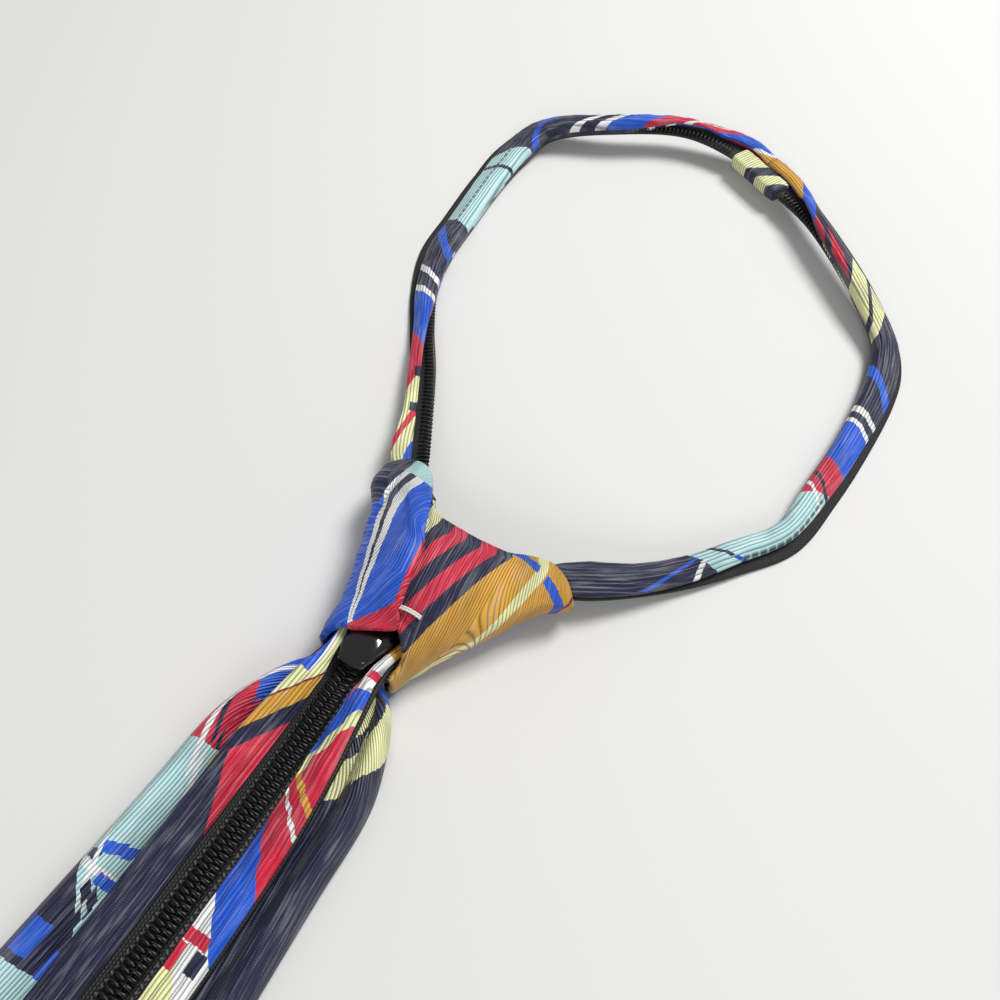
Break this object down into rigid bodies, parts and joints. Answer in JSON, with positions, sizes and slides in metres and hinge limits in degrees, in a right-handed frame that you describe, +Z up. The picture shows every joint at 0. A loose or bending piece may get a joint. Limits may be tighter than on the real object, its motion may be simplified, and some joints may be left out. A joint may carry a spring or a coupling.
{
  "type": "zipper tie",
  "caption": "Adult zipper necktie in plaid twill, lying face down: knot, blade and a zip neck band edged with cloth strips.",
  "frame": {"origin": "on the surface that the tie lies on, under the middle of its bounding box", "axes": "+Z up from the surface, through the tie's thin way; +Y along the tie from the blade's tip to the neck loop; +X to the right as seen from the back"},
  "size_m": [0.1344, 0.6292, 0.018],
  "materials": {
    "plaid_twill": "satin twill woven in a plaid of navy, blue, red, gold, cream, aqua and white",
    "white_thread": "plain sewing thread",
    "black_slider": "gloss black enamel",
    "black_tape": "woven polyester zip tape",
    "black_coil": "nylon monofilament coil"
  },
  "bodies": {
    "root": {"blade": "plaid_twill", "knot_wrap": "plaid_twill", "bar_tack": "white_thread", "slider": "black_slider", "bottom_stop": "black_slider", "zip_tape_left": "black_tape", "zip_tape_right": "black_tape", "zip_coil_left": "black_coil", "zip_coil_right": "black_coil", "strip_left": "plaid_twill", "strip_right": "plaid_twill", "nape_tab": "plaid_twill"}
  },
  "joints": []
}
